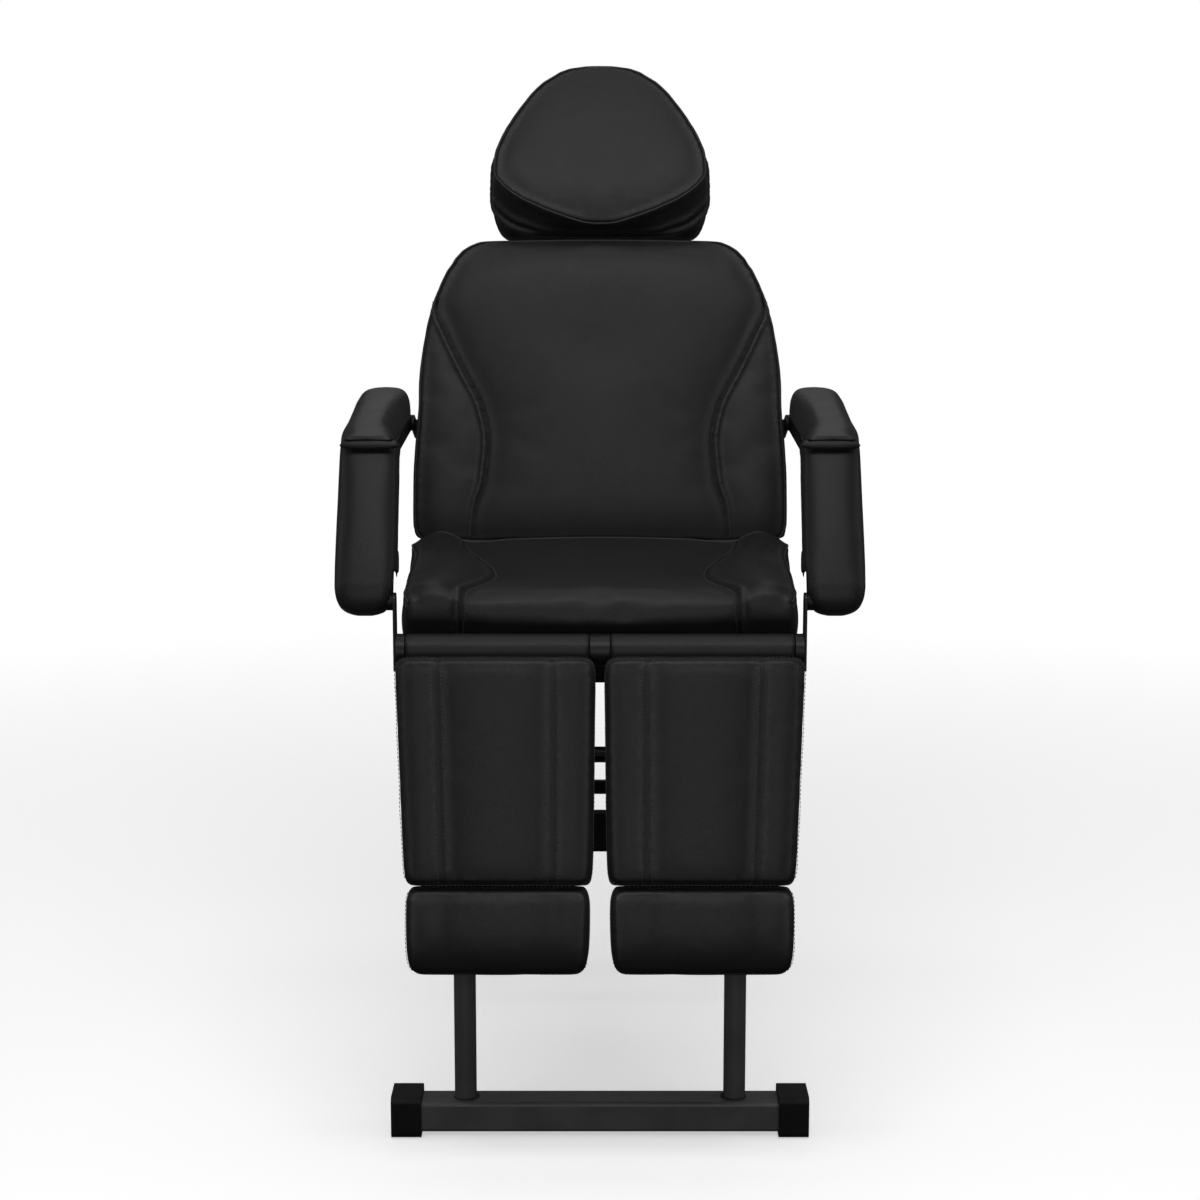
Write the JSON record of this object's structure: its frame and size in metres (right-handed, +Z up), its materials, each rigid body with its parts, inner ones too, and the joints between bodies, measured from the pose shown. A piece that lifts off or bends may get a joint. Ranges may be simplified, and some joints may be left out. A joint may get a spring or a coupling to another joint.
{
  "type": "pedicure chair",
  "caption": "Black padded pedicure chair with a reclining back, level folding armrests, sliding headrest and two separate leg rests with sliding foot pads on a steel foot frame.",
  "frame": {"origin": "floor, on the centre plane, half way between the foremost and rearmost points", "axes": "+Z up, front of the chair faces -Y, +X is the sitter's left side"},
  "size_m": [0.7556, 0.991, 1.5186],
  "materials": {
    "black_vinyl": "grained upholstery vinyl, satin, over foam",
    "grey_paint": "dark grey satin powder coat",
    "black_paint": "black satin powder coat",
    "black_plastic": "moulded, fine texture",
    "black_rubber": "moulded",
    "plywood": "bare plywood",
    "zinc_steel": "zinc plated",
    "polished_rod": "ground and chromed"
  },
  "bodies": {
    "base": {"foot_bar": "grey_paint", "foot_bar_caps": "black_plastic", "upright_left": "grey_paint", "upright_right": "grey_paint", "flat_cross_member": "black_paint", "upper_cross_tube": "black_paint", "stay_left": "black_paint", "stay_right": "black_paint", "spring_cross_tube": "black_paint", "rear_leg_left": "grey_paint", "rear_leg_right": "grey_paint", "rear_cross_tube": "black_paint", "rear_feet": "black_rubber", "rail_left": "black_paint", "rail_right": "black_paint", "seat_cross_tubes": "black_paint", "seat_board": "plywood", "seat_cushion": "black_vinyl", "recline_ears": "black_paint", "recline_pins": "zinc_steel", "arm_brackets": "black_paint", "outer_hinge_brackets": "black_paint", "centre_hinge_bracket": "black_paint", "hinge_rods": "zinc_steel"},
    "back": {"back_tube_left": "black_paint", "back_tube_right": "black_paint", "back_cross_tubes": "black_paint", "arm_outriggers": "black_paint", "back_board": "plywood", "back_cushion": "black_vinyl", "post_guides": "black_paint"},
    "knob": {"guide_knob": "black_plastic"},
    "carriage": {"headrest_posts": "zinc_steel"},
    "headrest": {"headrest_lugs": "black_paint", "headrest_board": "plywood", "headrest_cushion": "black_vinyl"},
    "spring_body": {"gas_cylinder": "black_paint"},
    "spring_rod": {"gas_rod": "polished_rod"},
    "arm_left": {"arm_bar_left": "black_paint", "arm_pad_left": "black_vinyl"},
    "front_arm_left": {"front_bar_left": "black_paint", "front_pad_left": "black_vinyl"},
    "leg_rest_left": {"leg_frame_left": "black_paint", "leg_board_left": "plywood", "calf_pad_left": "black_vinyl", "knee_roll_left": "black_vinyl"},
    "foot_rest_left": {"foot_slide_left": "zinc_steel", "foot_pad_left": "black_vinyl"},
    "arm_right": {"arm_bar_right": "black_paint", "arm_pad_right": "black_vinyl"},
    "front_arm_right": {"front_bar_right": "black_paint", "front_pad_right": "black_vinyl"},
    "leg_rest_right": {"leg_frame_right": "black_paint", "leg_board_right": "plywood", "calf_pad_right": "black_vinyl", "knee_roll_right": "black_vinyl"},
    "foot_rest_right": {"foot_slide_right": "zinc_steel", "foot_pad_right": "black_vinyl"}
  },
  "joints": [
    {"name": "recline", "type": "hinge", "parent": "base", "child": "back", "pos_m": [0, 0.148, 0.775], "axis": [-1, 0, 0], "range_deg": [0, 70]},
    {"name": "headrest_slide", "type": "slide", "parent": "back", "child": "carriage", "axis": [0, 0.309, 0.9511], "range_m": [0, 0.08]},
    {"name": "headrest_tilt", "type": "hinge", "parent": "carriage", "child": "headrest", "pos_m": [0, 0.40175, 1.25824], "axis": [-1, 0, 0], "range_deg": [0, 30]},
    {"name": "knob_turn", "type": "hinge", "parent": "back", "child": "knob", "pos_m": [0.06, 0.34427, 1.08134], "axis": [0, 0.9511, -0.309], "continuous": true},
    {"name": "spring_pivot", "type": "hinge", "parent": "base", "child": "spring_body", "pos_m": [0.06, 0.008, 0.454], "axis": [-1, 0, 0], "range_deg": [-4, 4]},
    {"name": "spring_stroke", "type": "slide", "parent": "spring_body", "child": "spring_rod", "axis": [0, 0.5757, 0.8177], "range_m": [-0.086, 0]},
    {"name": "arm_top_left", "type": "hinge", "parent": "back", "child": "arm_left", "pos_m": [0.3, 0.238, 0.962], "axis": [-1, 0, 0], "range_deg": [-71, 1]},
    {"name": "arm_front_left", "type": "hinge", "parent": "base", "child": "front_arm_left", "pos_m": [0.292, -0.222, 0.751], "axis": [-1, 0, 0], "range_deg": [-1, 71]},
    {"name": "leg_rest_left", "type": "hinge", "parent": "base", "child": "leg_rest_left", "pos_m": [0.137, -0.326, 0.7], "axis": [-1, 0, 0], "range_deg": [0, 80]},
    {"name": "foot_slide_left", "type": "slide", "parent": "leg_rest_left", "child": "foot_rest_left", "axis": [0, -0.2588, -0.9659], "range_m": [0, 0.12]},
    {"name": "arm_top_right", "type": "hinge", "parent": "back", "child": "arm_right", "pos_m": [-0.3, 0.238, 0.962], "axis": [-1, 0, 0], "range_deg": [-71, 1]},
    {"name": "arm_front_right", "type": "hinge", "parent": "base", "child": "front_arm_right", "pos_m": [-0.292, -0.222, 0.751], "axis": [-1, 0, 0], "range_deg": [-1, 71]},
    {"name": "leg_rest_right", "type": "hinge", "parent": "base", "child": "leg_rest_right", "pos_m": [-0.137, -0.326, 0.7], "axis": [-1, 0, 0], "range_deg": [0, 80]},
    {"name": "foot_slide_right", "type": "slide", "parent": "leg_rest_right", "child": "foot_rest_right", "axis": [0, -0.2588, -0.9659], "range_m": [0, 0.12]}
  ],
  "couplings": [
    {"joint": "spring_pivot", "follows": "recline", "ratio": -0.036},
    {"joint": "spring_stroke", "follows": "recline", "m_per_rad": -0.069},
    {"joint": "arm_top_left", "follows": "recline", "ratio": -1},
    {"joint": "arm_front_left", "follows": "recline", "ratio": 1},
    {"joint": "arm_top_right", "follows": "recline", "ratio": -1},
    {"joint": "arm_front_right", "follows": "recline", "ratio": 1}
  ]
}
